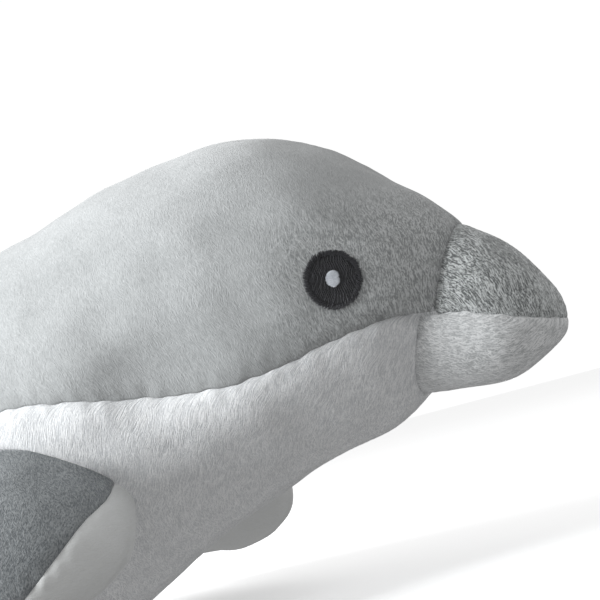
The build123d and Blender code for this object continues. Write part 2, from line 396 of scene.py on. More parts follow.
@dataclass
class Cloth:
    """Shapes a smooth grid of points into sewn, stuffed plush.

    Attributes:
        seed: fixed seed of the unevenness.
        floor: height of the floor that presses the belly flat.
        dents: the stuffing's own swellings and hollows.
        lump, hollow: heights of the wide and the narrow unevenness.
        shade_reach: how far a seam's painted shade reaches, and clear_reach how far its pile is pressed down.
        softness: over what height the floor rounds the cloth off.
    """

    seed: int = 3
    floor: float = 0.0
    dents: tuple = ()
    lump: float = 0.55
    hollow: float = 0.2
    shade_reach: float = 0.6
    clear_reach: float = 1.5
    softness: float = 2.5

    def __post_init__(self) -> None:
        """Draws the unevenness that all panels share, so that they still meet at their seams."""
        self.lumps = Ripple(52, self.seed)
        self.hollows = Ripple(19, self.seed + 1)
        self.puckers = Ripple(6.5, self.seed + 3, 30)

    def lift(self, points: np.ndarray) -> np.ndarray:
        """Finds how far the stuffing pushes the cloth out, away from seams.

        Args:
            points: places on the smooth form.

        Returns:
            The distance at each point.
        """
        lift = self.lump * self.lumps(points) + self.hollow * self.hollows(points)
        for dent in self.dents:
            lift += dent.lift(points)
        return lift

    def shape(self, points: np.ndarray, normals: np.ndarray, grooves: dict, nap: np.ndarray,
              pile: Pile) -> tuple[np.ndarray, np.ndarray]:
        """Moves grid points in or out.

        Args:
            points: grid of points, rows by columns, in millimetres.
            normals: outward directions of the grid.
            grooves: Groove for the edges "front", "rear", "first" and "last"; the first two are grid rows.
            nap: combed position of each point on the cloth.
            pile: how the pile lies.

        Returns:
            The shaped points, and how much painted seam shade each one gets, from 0 to 1.
        """
        down, across = walk(points)
        distances = {
            "front": down, "rear": down[-1:] - down, "first": across, "last": across[:, -1:] - across,
        }
        lift = self.lift(points)
        near = np.zeros(points.shape[:2])
        gather = self.puckers(points)
        clear = np.ones(points.shape[:2])
        for edge, groove in grooves.items():
            away = distances[edge]
            lift -= groove.depth * np.exp(-away / groove.width)
            lift += groove.pucker * gather * np.exp(-(away / (2.6 * groove.width)) ** 2)
            # painted seam shade: darkest at the seam, fading over shade_reach
            near = np.maximum(near, groove.dark * np.exp(-away / self.shade_reach))
            clear = np.minimum(clear, np.clip(away / self.clear_reach, 0, 1))
        lift += pile.lift(nap, self.seed + 5) * clear
        shaped = points + normals * lift[..., None]
        height = (shaped[..., 2] - self.floor) / self.softness
        free = 4        # times the softness: above this the floor is not felt
        pressed = np.where(height > free, height, np.log1p(np.exp(np.clip(height, -40, free))))
        shaped[..., 2] = self.floor + self.softness * np.minimum(pressed, np.maximum(height, 0) + 0.75)
        return shaped, near


# ------------------------------------------------------------------ meshes
def add_object(name: str, mesh: bpy.types.Mesh) -> bpy.types.Object:
    """Puts a mesh in the scene as a new object at the origin.

    Args:
        name: name of the new object.
        mesh: its mesh.

    Returns:
        The object.
    """
    piece = bpy.data.objects.new(name, mesh)
    bpy.context.scene.collection.objects.link(piece)
    return piece


def clean(mesh: bpy.types.Mesh, nearest: float = 2e-6) -> None:
    """Merges doubled points, turns faces outwards and shades them smooth.

    Args:
        mesh: the mesh to clean.
        nearest: points closer than this, in metres, become one.
    """
    work = bmesh.new()
    work.from_mesh(mesh)
    bmesh.ops.remove_doubles(work, verts=work.verts, dist=nearest)
    bmesh.ops.recalc_face_normals(work, faces=work.faces)
    if work.calc_volume(signed=True) < 0:
        bmesh.ops.reverse_faces(work, faces=work.faces)
    work.to_mesh(mesh)
    work.free()
    mesh.polygons.foreach_set("use_smooth", [True] * len(mesh.polygons))
    mesh.update()


def panel_mesh(name: str, points: np.ndarray, normals: np.ndarray, core: np.ndarray, nap: np.ndarray,
               near: np.ndarray, hem: float = 3.0) -> bpy.types.Object:
    """Makes a closed, stuffed panel: its outer cloth, a turned-in hem, and its stuffing back to a core line.

    Args:
        name: name of the new object.
        points: outer grid, rows by columns, in millimetres.
        normals: outward directions of the grid.
        core: one point inside the stuffing for each grid row.
        nap: position along and across the pile for each grid point, in millimetres.
        near: how much painted seam shade each grid point gets, from its nearness to a seam.
        hem: how far the cut edge is turned in.

    Returns:
        The new object, at the origin, in metres.
    """
    rows, columns = points.shape[:2]
    number = np.arange(rows * columns).reshape(rows, columns)
    quads = np.stack([number[:-1, :-1], number[1:, :-1], number[1:, 1:], number[:-1, 1:]], -1).reshape(-1, 4)
    loop = [(0, j) for j in range(columns)] + [(i, columns - 1) for i in range(1, rows)]
    loop += [(rows - 1, j) for j in range(columns - 2, -1, -1)] + [(i, 0) for i in range(rows - 2, 0, -1)]
    edge_rows = np.array([i for i, _ in loop])
    edge = np.array([number[i, j] for i, j in loop])
    flat, out = points.reshape(-1, 3), normals.reshape(-1, 3)
    hems = flat[edge] - out[edge] * hem
    inner = len(flat) + len(loop)
    faces = [list(quad) for quad in quads]
    for k in range(len(loop)):
        after = (k + 1) % len(loop)
        faces.append([edge[k], len(flat) + k, len(flat) + after, edge[after]])
        wall = [len(flat) + k, inner + edge_rows[k], inner + edge_rows[after], len(flat) + after]
        faces.append(wall if wall[1] != wall[2] else [wall[0], wall[1], wall[3]])
    everything = np.concatenate([flat, hems, core]) * MM
    mesh = bpy.data.meshes.new(name)
    mesh.from_pydata(everything.tolist(), [], [[int(v) for v in face] for face in faces])
    spare = len(everything) - len(flat)
    paint(mesh, "nap", np.concatenate([nap.reshape(-1, 3) * MM, np.zeros((spare, 3))]))
    # the seam attribute holds the painted seam shade; hem and stuffing points get it fully
    paint(mesh, "seam", np.concatenate([near.reshape(-1), np.ones(spare)]))
    forward, down = everything[:, 0] / MM - RUFFLED_FROM, RUFFLED_TOP - everything[:, 2] / MM
    ruffled = np.clip(forward / (RUFFLED_FULLY - RUFFLED_FROM), 0, 1)
    paint(mesh, "ruffle", ruffled * np.clip(down / (RUFFLED_TOP - RUFFLED_BELOW), 0, 1))
    clean(mesh)
    return add_object(name, mesh)


def paint(mesh: bpy.types.Mesh, name: str, values: np.ndarray) -> None:
    """Stores one number or vector on each point of a mesh.

    Args:
        mesh: the mesh.
        name: name of the attribute.
        values: one number, or one row of three, for each point.
    """
    kind, key = ("FLOAT_VECTOR", "vector") if values.ndim == 2 else ("FLOAT", "value")
    layer = mesh.attributes.new(name, kind, "POINT")
    layer.data.foreach_set(key, values.astype(np.float32).ravel())


def walk(points: np.ndarray) -> tuple[np.ndarray, np.ndarray]:
    """Measures a grid on its cloth.

    Args:
        points: grid of points, rows by columns.

    Returns:
        Each point's distance from the first row, and its distance from the first column.
    """
    down = np.linalg.norm(np.diff(points, axis=0), axis=-1).cumsum(0)
    down = np.concatenate([np.zeros((1, points.shape[1])), down])
    across = np.linalg.norm(np.diff(points, axis=1), axis=-1).cumsum(1)
    across = np.concatenate([np.zeros((points.shape[0], 1)), across], 1)
    return down, across


def spread(points: np.ndarray) -> np.ndarray:
    """Gives each grid point its position along and across the cloth, measured on the cloth."""
    along, across = walk(points)
    middle = across[:, points.shape[1] // 2][:, None]
    return np.stack([along, across - middle, np.zeros_like(along)], -1)


# ------------------------------------------------------------------ node graphs
class Wire:
    """An output of a node that Python operators work on."""

    def __init__(self, graph: "Graph", socket: bpy.types.NodeSocket) -> None:
        """Wraps a socket of a graph."""
        self.graph, self.socket = graph, socket

    def _math(self, operation: str, first: object, second: object) -> "Wire":
        """Adds one Math node."""
        return self.graph.node("ShaderNodeMath", {"operation": operation}, {0: first, 1: second})

    def __add__(self, other: object) -> "Wire":
        """Adds."""
        return self._math("ADD", self, other)

    def __sub__(self, other: object) -> "Wire":
        """Takes away."""
        return self._math("SUBTRACT", self, other)

    def __rsub__(self, other: object) -> "Wire":
        """Is taken away from a number."""
        return self._math("SUBTRACT", other, self)

    def __mul__(self, other: object) -> "Wire":
        """Multiplies."""
        return self._math("MULTIPLY", self, other)

    __radd__ = __add__
    __rmul__ = __mul__


class Graph:
    """Builds the nodes of a material, a world or a Geometry Nodes tree."""

    def __init__(self, tree: bpy.types.NodeTree) -> None:
        """Wraps an empty node tree."""
        self.tree = tree

    def node(self, kind: str, settings: dict | None = None, inputs: dict | None = None,
             output: int | str = 0) -> Wire:
        """Adds a node.

        Args:
            kind: the node's type.
            settings: its own settings, set first.
            inputs: a value or Wire for its sockets, by name or number.
            output: name or number of the output to give back.

        Returns:
            That output.
        """
        made = self.tree.nodes.new(kind)
        for key, value in (settings or {}).items():
            setattr(made, key, value)
        for key, value in (inputs or {}).items():
            socket = made.inputs[key]
            if isinstance(value, Wire):
                self.tree.links.new(value.socket, socket)
            elif socket.type == "RGBA" and len(value) == 3:
                socket.default_value = (*value, 1.0)
            else:
                socket.default_value = value
        return Wire(self, made.outputs[output] if made.outputs else None)

    def blend(self, factor: object, first: object, second: object) -> Wire:
        """Mixes two colours.

        Args:
            factor: how much of the second colour shows.
            first: a colour or Wire.
            second: a colour or Wire.

        Returns:
            The mixed colour.
        """
        made = self.tree.nodes.new("ShaderNodeMix")
        made.data_type = "RGBA"
        sockets = [s for s in made.inputs if s.enabled]
        for socket, value in zip(sockets, (factor, first, second)):
            if isinstance(value, Wire):
                self.tree.links.new(value.socket, socket)
            elif socket.type == "RGBA":
                socket.default_value = (*value, 1.0)
            else:
                socket.default_value = value
        return Wire(self, next(s for s in made.outputs if s.enabled))

    def vector(self, operation: str, first: object, second: object) -> Wire:
        """Adds one Vector Math node."""
        return self.node("ShaderNodeVectorMath", {"operation": operation}, {0: first, 1: second})

    def noise(self, place: Wire, scale: float, detail: float, roughness: float = 0.5,
              output: str = "Fac") -> Wire:
        """Adds one Noise Texture.

        Args:
            place: position that the noise is read at.
            scale, detail, roughness: the texture's own values.
            output: name of the output to give back.

        Returns:
            That output.
        """
        inputs = {"Vector": place, "Scale": scale, "Detail": detail, "Roughness": roughness}
        return self.node("ShaderNodeTexNoise", {}, inputs, output)

    def attribute(self, name: str, output: str = "Fac") -> Wire:
        """Reads an attribute of the surface."""
        return self.node("ShaderNodeAttribute", {"attribute_name": name}, output=output)


@dataclass(frozen=True)
class PlushFinish:
    """Short plush whose fine pile lies over in strokes, with lighter tips and darker roots.

    Attributes:
        name: name of the material.
        dark, light: colours of the pile's roots and tips.
        seam: painted shade colour for the depth of a seam, and painted_seam_shade how much of that painted
            shade shows.
        stroke_length, stroke_width: size of one stroke of hair, in millimetres.
        contrast: how strongly the strokes show.
        relief: how deep they are, in millimetres.
        sheen: the soft gloss of standing pile.
        ruffle: how much stronger the strokes are where the pile is ruffled.
    """

    name: str
    dark: tuple
    light: tuple
    seam: tuple
    stroke_length: float = 2.2
    stroke_width: float = 0.36
    contrast: float = 1.0
    relief: float = 0.2
    sheen: float = 0.35
    painted_seam_shade: float = 0.5
    ruffle: float = 0.0

    def strokes(self, g: Graph, combed: Wire, turn: float, shift: float) -> Wire:
        """Draws one layer of hair strokes.

        Args:
            g: the material's graph.
            combed: position on the cloth, its first number along the pile, in metres.
            turn: degrees that the strokes lie off the pile's lie.
            shift: moves the pattern, so that layers differ.

        Returns:
            The height of the strokes, mostly near 0.5.
        """
        laid = g.node("ShaderNodeMapping", {}, {"Vector": combed, "Rotation": (0, 0, math.radians(turn))})
        scale = (1 / (self.stroke_length * MM), 1 / (self.stroke_width * MM), 1.0)
        drawn = g.node("ShaderNodeMapping", {}, {
            "Vector": laid, "Scale": scale, "Location": (shift, shift, shift)})
        return g.noise(drawn, 1.0, 2.0, 0.55)

    def tone(self, g: Graph, place: Wire, hair: Wire, grain: Wire) -> Wire:
        """Finds how light the pile is, from 0 at its roots to 1 at its tips.

        Args:
            g: the material's graph.
            place: position on the piece.
            hair: height of the strokes.
            grain: height of the single fibres.

        Returns:
            The tone.
        """
        usual_hair = 0.555
        ruffled = g.attribute("ruffle") * self.ruffle + 1.0
        strokes = (hair - usual_hair) * (3.0 * self.contrast)
        fine = (strokes + (grain - 0.5) * (0.8 * self.contrast)) * ruffled
        brushed = g.noise(place, 45.0, 3.0, 0.6)
        patches = g.noise(place, 220.0, 2.0)
        return fine + (brushed - 0.5) * 0.5 + (patches - 0.5) * (0.5 * self.contrast) + 0.5

    def build(self) -> bpy.types.Material:
        """Makes the material."""
        material = bpy.data.materials.new(self.name)
        material.use_nodes = True
        material.node_tree.nodes.clear()
        g = Graph(material.node_tree)
        place = g.node("ShaderNodeTexCoord", output="Object")
        stray = g.vector("SUBTRACT", g.noise(place, 60.0, 2.0, output="Color"), (0.5, 0.5, 0.5))
        stray = g.vector("MULTIPLY", stray, (7 * MM, 7 * MM, 0.0))
        combed = g.vector("ADD", g.attribute("nap", "Vector"), stray)
        hair = g.node("ShaderNodeMath", {"operation": "MAXIMUM"}, {
            0: self.strokes(g, combed, 14, 3.1), 1: self.strokes(g, combed, -12, 7.7)})
        grain = g.noise(place, 1700.0, 1.0)
        pile = g.blend(self.tone(g, place, hair, grain), self.dark, self.light)
        # painted shade: the pile darkens towards the seam colour near seams, where a groove's shade falls
        colour = g.blend(g.attribute("seam") * self.painted_seam_shade, pile, self.seam)
        bump = g.node("ShaderNodeBump", {}, {
            "Strength": 1.0, "Distance": self.relief * MM, "Height": hair + grain * 0.3})
        shader = g.node("ShaderNodeBsdfPrincipled", {}, {
            "Base Color": colour, "Roughness": 0.95, "Specular IOR Level": 0.1, "Sheen Weight": self.sheen,
            "Sheen Roughness": 0.5, "Normal": bump})
        g.node("ShaderNodeOutputMaterial", {}, {"Surface": shader})
        return material


@dataclass(frozen=True)
class ThreadFinish:
    """Embroidery or sewing thread with a soft gloss."""

    name: str
    dark: tuple
    light: tuple
    roughness: float = 0.5

    def build(self) -> bpy.types.Material:
        """Makes the material."""
        material = bpy.data.materials.new(self.name)
        material.use_nodes = True
        material.node_tree.nodes.clear()
        g = Graph(material.node_tree)
        place = g.node("ShaderNodeTexCoord", output="Object")
        fibres = g.noise(place, 2600.0, 2.0)
        worn = g.noise(place, 500.0, 1.0)
        colour = g.blend((fibres - 0.5) * 1.4 + (worn - 0.5) * 1.2 + 0.5, self.dark, self.light)
        bump = g.node("ShaderNodeBump", {}, {"Strength": 0.4, "Distance": 0.0001, "Height": fibres})
        shader = g.node("ShaderNodeBsdfPrincipled", {}, {
            "Base Color": colour, "Roughness": self.roughness, "Specular IOR Level": 0.35,
            "Sheen Weight": 0.1, "Normal": bump})
        g.node("ShaderNodeOutputMaterial", {}, {"Surface": shader})
        return material


class Finishes(Enum):
    """Every finish on the toy."""

    # each seam colour is a painted shade colour for the depth of the seams
    GREY = PlushFinish(
        "grey_pile", dark=(0.27, 0.28, 0.281), light=(0.57, 0.583, 0.586), seam=(0.2, 0.205, 0.21),
        contrast=0.4, relief=0.22, ruffle=6.0)
    BEAK_GREY = PlushFinish(
        "beak_grey_pile", dark=(0.16, 0.17, 0.17), light=(0.74, 0.765, 0.765), seam=(0.14, 0.145, 0.15),
        stroke_length=1.7, contrast=2.2, relief=0.35)
    FLIPPER_GREY = PlushFinish(
        "flipper_grey_pile", dark=(0.17, 0.185, 0.195), light=(0.38, 0.40, 0.41), seam=(0.12, 0.125, 0.13),
        stroke_length=1.4, contrast=1.3, relief=0.25)
    WHITE = PlushFinish(
        "white_pile", dark=(0.66, 0.675, 0.69), light=(0.98, 0.985, 0.99), seam=(0.62, 0.63, 0.65),
        stroke_length=3.0, contrast=1.35, relief=0.28, painted_seam_shade=0.3, ruffle=0.5)
    SMOOTH_WHITE = PlushFinish(
        "smooth_white_pile", dark=(0.68, 0.69, 0.68), light=(0.80, 0.81, 0.81), seam=(0.5, 0.51, 0.52),
        contrast=0.5, relief=0.1, painted_seam_shade=0.35)
    BEAK_WHITE = PlushFinish(
        "beak_white_pile", dark=(0.54, 0.555, 0.56), light=(0.97, 0.98, 0.985), seam=(0.5, 0.51, 0.52),
        stroke_length=2.6, contrast=1.6, relief=0.3, painted_seam_shade=0.35)
    BLACK_THREAD = ThreadFinish("black_stitching", (0.003, 0.003, 0.004), (0.028, 0.028, 0.033), 0.45)
    PALE_THREAD = ThreadFinish("pale_stitching", (0.5, 0.53, 0.58), (0.82, 0.85, 0.9), 0.55)
    GREY_THREAD = ThreadFinish("grey_stitching", (0.2, 0.205, 0.21), (0.42, 0.43, 0.44), 0.6)

    @property
    def material(self) -> bpy.types.Material:
        """Gives the material, made once."""
        return bpy.data.materials.get(self.value.name) or self.value.build()


# ------------------------------------------------------------------ pieces
@dataclass(frozen=True)
class Ride:
    """What a piece moves with: one body; a piece between two bodies keeps both names and its stretch's ends,
    which nothing here reads.
    """

    body: str
    other: str | None = None
    start: tuple = ()
    end: tuple = ()

    def apply(self, piece: bpy.types.Object) -> None:
        """Ties the piece to its one body, or bakes its place into its mesh when it lies between two."""
        if self.other is None:
            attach(piece, self.body)
        else:
            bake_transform(piece)


def finish_piece(piece: bpy.types.Object, finish: Finishes, ride: Ride, nodes: tuple) -> None:
    """Dresses a piece, applies its ride and hides the CAD nodes that it stands for.

    Args:
        piece: the finished mesh object.
        finish: its material.
        ride: what it moves with.
        nodes: CAD nodes that it stands for.
    """
    if not piece.data.materials:
        piece.data.materials.append(finish.material)
    ride.apply(piece)
    if nodes:
        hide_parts(*nodes)
    LOG.info("%s: %d faces, rides %s", piece.name, len(piece.data.polygons), ride.body)


@dataclass
class BodyCovers:
    """The plush panels over body, tail and beak.

    Attributes:
        tail_stretch: how far before and behind the tail's pivot the ends of the tail rides are put; nothing
            here bends the covers along them.
        tail_stop: how far ahead of the fluke's hinge the tail's covers end.
        nod_start, nod_end: how far ahead of the beak's pivot the ends of the beak ride are put; nothing here
            makes the nod follow them.
    """

    form: BodyForm
    cloth: Cloth
    # the last number of each Groove is the strength of its painted seam shade
    side_groove: Groove = Groove(0.9, 2.4, 0.12, 0.45)
    ring_groove: Groove = Groove(1.0, 1.4, 0.25, 0.6)
    throat_edge: Groove = Groove(0.15, 1.4, 0.35, 0.0)
    chin_edge: Groove = Groove(1.0, 2.4, 0.2, 0.15)
    mouth_edge: Groove = Groove(0.6, 1.2, 0.2, 0.3)
    tail_groove: Groove = Groove(1.4, 2.4, 0.25, 0.5)
    back_groove: Groove = Groove(0.5, 1.8, 0.12, 0.3)
    back_pile: Pile = Pile(lean=-60, height=0.02)
    belly_pile: Pile = Pile(lean=-68, length=4.5, height=0.03)
    beak_pile: Pile = Pile(lean=14, length=1.8, width=1.1, height=0.045)
    chin_pile: Pile = Pile(lean=-24, length=4.0, width=1.1, height=0.03)
    tail_stretch: float = 46.0
    tail_stop: float = 12.0
    nod_start: float = 6.2
    nod_end: float = 18.0

    def __post_init__(self) -> None:
        """Reads the frame for the places of the two rings and of the joints."""
        sway, ring = joint_place("tail_sway"), joint_place("beak_nod")
        self.tail_ring = self.form.place_at(sway[0])
        self.tail_end = self.form.place_at(joint_place("fluke_bend")[0] + self.tail_stop)
        stretch = np.array([self.tail_stretch, 0, 0])
        self.sway_ride = Ride("torso", "tail_core", tuple(sway + stretch), tuple(sway))
        self.bend_ride = Ride("tail_core", "tail", tuple(sway), tuple(sway - stretch))
        front = np.array([0.898, 0, -0.44])
        start, end = ring + front * self.nod_start, ring + front * self.nod_end
        self.nod_ride = Ride("torso", "beak", tuple(start), tuple(end))

    def _grid(self, front: np.ndarray, rear: np.ndarray, angles: Angles, size: tuple) -> tuple:
        """Lays a grid between a front and a rear edge, a little denser at the front.

        Args:
            front, rear: place of the edges in each grid column.
            angles: gives each place's first and last angle.
            size: rows and columns of the grid.

        Returns:
            Places and angles of the grid.
        """
        u = np.linspace(0, 1, size[0])[:, None] ** 1.2
        v = np.linspace(0, 1, size[1])[None, :]
        place = front[None, :] + (rear[None, :] - front[None, :]) * u
        first, last = angles(place)
        return place, first + (last - first) * v

    def _panel(self, name: str, ends: tuple, angles: Angles, size: tuple, grooves: dict,
               pile: Pile) -> bpy.types.Object:
        """Makes one panel between two edges along the body and two angles round it.

        Args:
            name: name of the new object.
            ends: place of the front edge and of the rear edge.
            angles: gives each place's first and last angle.
            size: rows and columns of the grid.
            grooves: Groove for each sewn edge.
            pile: how the pile lies.

        Returns:
            The new object.
        """
        front, rear = (np.full(size[1], float(end)) for end in ends)
        place, angle = self._grid(front, rear, angles, size)
        points, normals = self.form.surface(place, angle), self.form.normal(place, angle)
        nap = pile.comb(spread(points))
        shaped, near = self.cloth.shape(points, normals, grooves, nap, pile)
        core = self.form.middle(place[:, place.shape[1] // 2])
        return panel_mesh(name, shaped, normals, core, nap, near)

    def _left(self, place: np.ndarray) -> tuple:
        """Gives the angles from the centre of the back to the left side seam."""
        return math.pi / 2, self.form.seam_angle(place)

    def _right(self, place: np.ndarray) -> tuple:
        """Gives the angles from the centre of the back to the right side seam."""
        return math.pi / 2, math.pi - self.form.seam_angle(place)

    def _under(self, place: np.ndarray) -> tuple:
        """Gives the angles from one side seam to the other, under the body."""
        seam = self.form.seam_angle(place)
        return seam, -math.pi - seam

    def _over(self, place: np.ndarray) -> tuple:
        """Gives the angles from one side seam to the other, over the body."""
        seam = self.form.seam_angle(place)
        return seam, math.pi - seam

    def back(self, side: str, size: tuple = (460, 185)) -> bpy.types.Object:
        """Makes the left or right grey back panel of the body."""
        grooves = {
            "front": self.ring_groove, "rear": self.tail_groove, "first": self.back_groove,
            "last": self.side_groove,
        }
        angles = self._left if side == "left" else self._right
        return self._panel(f"back_{side}", (0, self.tail_ring), angles, size, grooves, self.back_pile)

    def belly(self, size: tuple = (400, 220)) -> bpy.types.Object:
        """Makes the white belly and throat panel."""
        grooves = {
            "front": self.throat_edge, "rear": self.tail_groove, "first": self.side_groove,
            "last": self.side_groove,
        }
        return self._panel("belly", (0, self.tail_ring), self._under, size, grooves, self.belly_pile)

    def tail(self, part: str, size: tuple = (110, 90)) -> bpy.types.Object:
        """Makes the left, right or under panel of the tail section."""
        angles, first, pile = {
            "left": (self._left, self.back_groove, self.back_pile),
            "right": (self._right, self.back_groove, self.back_pile),
            "under": (self._under, self.side_groove, self.belly_pile),
        }[part]
        grooves = {
            "front": self.tail_groove, "rear": self.tail_groove, "last": self.side_groove,
            "first": first,
        }
        return self._panel(f"tail_{part}", (self.tail_ring, self.tail_end), angles, size, grooves, pile)

    def beak(self, part: str, size: tuple = (190, 300)) -> bpy.types.Object:
        """Makes the upper or lower panel of the beak, from the ring seam to the tip."""
        angles, ring, pile = {
            "upper": (self._over, self.ring_groove, self.beak_pile),
            "lower": (self._under, self.chin_edge, self.chin_pile),
        }[part]
        grooves = {"front": ring, "first": self.mouth_edge, "last": self.mouth_edge}
        return self._panel(f"beak_{part}", (0, -self.form.beak_length), angles, size, grooves, pile)

    def build(self) -> None:
        """Makes and dresses every panel."""
        for side in ("left", "right"):
            finish_piece(self.back(side), Finishes.GREY, self.sway_ride,
                         (f"back_panel_{side}",))
            finish_piece(self.tail(side), Finishes.GREY, self.bend_ride,
                         (f"tail_panel_{side}",))
        finish_piece(self.belly(), Finishes.WHITE, self.sway_ride,
                     ("belly_panel", "body_stuffing"))
        finish_piece(self.tail("under"), Finishes.WHITE, self.bend_ride,
                     ("tail_under_panel", "tail_stuffing"))
        finish_piece(self.beak("upper"), Finishes.BEAK_GREY, self.nod_ride,
                     ("beak_upper_panel",))
        finish_piece(self.beak("lower"), Finishes.BEAK_WHITE, self.nod_ride,
                     ("beak_lower_panel", "beak_stuffing"))


@dataclass
class Fin:
    """A stuffed fin of two panels sewn round their outline.

    Each row gives the leading and the trailing point as distances along the chord and the span, then half
    the thickness between them, how far the row's middle stands off the plane, how far its front stands
    above, and how many degrees the front seam is turned up over the leading edge.

    Attributes:
        name: start of the panels' names.
        origin: point that the rows are measured from.
        chord, span: directions of the rows' distances.
        pile: how the pile lies.
        edge: the sewn outline.
        size: rows and columns of each panel's grid.
    """

    name: str
    origin: np.ndarray
    chord: np.ndarray
    span: np.ndarray
    rows: tuple
    cloth: Cloth
    pile: Pile = Pile(lean=-30, length=2.4, width=1.2, height=0.05)
    # its last number is the strength of the painted shade along the fin's outline seam
    edge: Groove = Groove(0.8, 1.6, 0.25, 0.5)
    size: tuple = (150, 150)

    def __post_init__(self) -> None:
        """Fits the curve through the rows; the face points up or to the left."""
        table = np.array([tuple(row) + (0, 0, 0) if len(row) == 5 else row for row in self.rows], float)
        steps = np.linalg.norm(np.diff(table, axis=0), axis=1)
        self.at = np.concatenate([[0], np.cumsum(steps)])
        self.curve = CubicThrough(self.at, table)
        face = unit(np.cross(self.span, self.chord))
        self.face = face if face @ np.array([0, 0.5, 1]) > 0 else -face

    def surface(self, place: np.ndarray, angle: np.ndarray) -> np.ndarray:
        """Gives points on the smooth fin.

        Args:
            place: distance along the rows.
            angle: 0 at the leading edge and half a turn at the trailing edge.

        Returns:
            The points.
        """
        rows = self.curve(place)
        middle = (rows[..., 0:2] + rows[..., 2:4]) / 2
        half = (rows[..., 0:2] - rows[..., 2:4]) / 2
        flat = middle + half * np.cos(angle)[..., None]
        puff = np.maximum(rows[..., 4], 0) * np.sin(angle) + rows[..., 5] + rows[..., 6] * np.cos(angle)
        return (self.origin + flat[..., 0:1] * self.chord + flat[..., 1:2] * self.span
                + puff[..., None] * self.face)

    def panel(self, label: str, sign: int) -> bpy.types.Object:
        """Makes one panel.

        Args:
            label: end of its name.
            sign: 1 for the face side and -1 for the other side.

        Returns:
            The new object.
        """
        rows, columns = self.size
        place = np.linspace(0, self.at[-1], rows)[:, None] * np.ones((1, columns))
        first = np.radians(self.curve(place[:, :1])[..., 7])
        last = math.pi if sign > 0 else -math.pi
        angle = first + (last - first) * np.linspace(0, 1, columns)[None, :]
        points = self.surface(place, angle)
        inside = np.clip(place, 0.4, self.at[-1] - 0.4)
        along = self.surface(inside + 0.3, angle) - self.surface(inside - 0.3, angle)
        around = self.surface(inside, angle + 0.02) - self.surface(inside, angle - 0.02)
        normals = unit(np.cross(along, around))
        if (normals[rows // 2, columns // 2] @ self.face) * sign < 0:
            normals = -normals
        near_tip = np.clip(1 - (self.at[-1] - place) / 6, 0, 1)[..., None]
        normals = unit(normals * (1 - near_tip) + sign * self.face * near_tip)
        nap = self.pile.comb(spread(points))
        grooves = {"first": self.edge, "last": self.edge}
        shaped, near = self.cloth.shape(points, normals, grooves, nap, self.pile)
        rows_at = self.curve(place[:, 0])
        middle = (rows_at[:, 0:2] + rows_at[:, 2:4]) / 2
        core = (self.origin + middle[:, 0:1] * self.chord + middle[:, 1:2] * self.span
                + rows_at[:, 5:6] * self.face)
        return panel_mesh(f"{self.name}_{label}", shaped, normals, core, nap, near, hem=0.6)


@dataclass
class Flippers:
    """The two flippers, grey above and white below, swept back from the flanks.

    Attributes:
        drop: degrees that a flipper's span hangs below level.
        yaw: degrees that its chord is turned in plan.
        inner, outer: how far on both sides of the hinge the ends of its ride are put; nothing here bends the
            flipper along them.
    """

    cloth: Cloth
    drop: float = 38.0
    yaw: float = 8.0
    inner: float = 13.0
    outer: float = 15.0
    rows: tuple = (
        (38, -22, -38, -19, 21.5, -3, -9.5, 18),
        (40, -10, -36, -8, 21.5, -3, -9.5, 24),
        (41, 2, -35, 4, 21, -3, -9.5, 35),
        (36, 13, -42, 15.5, 19, -3, -9, 37),
        (25, 23.5, -52, 25.5, 15.5, -2.5, -7.5, 30),
        (9, 33.5, -61, 34.5, 11.5, -1.5, -5, 14),
        (-11, 39.5, -68, 39.5, 8.6, -0.5, -3, 5),
        (-33, 43.5, -72, 43, 5.6, 0, -1, 1),
        (-52, 46, -74, 45.2, 3.2, 0, 0, 0),
        (-66, 46.6, -73, 46.4, 1.0, 0, 0, 0),
        (-71, 46.5, -71.4, 46.5, 0, 0, 0, 0),
    )

    def build(self) -> None:
        """Makes both flippers."""
        for side, sign in (("left", 1), ("right", -1)):
            drop, yaw = math.radians(self.drop), math.radians(self.yaw)
            chord = np.array([math.cos(yaw), -sign * math.sin(yaw), 0])
            level = math.cos(drop)
            span = np.array([math.sin(yaw) * level, sign * math.cos(yaw) * level, -math.sin(drop)])
            hinge = joint_place(f"flipper_{side}_flap")
            fin = Fin(f"flipper_{side}", hinge, chord, span, self.rows, self.cloth)
            inner, outer = hinge - span * self.inner, hinge + span * self.outer
            ride = Ride("torso", f"flipper_{side}", tuple(inner), tuple(outer))
            finish_piece(fin.panel("top", 1), Finishes.FLIPPER_GREY, ride,
                         (f"flipper_{side}_top_panel", f"flipper_{side}_stuffing"))
            finish_piece(fin.panel("under", -1), Finishes.SMOOTH_WHITE, ride,
                         (f"flipper_{side}_under_panel",))


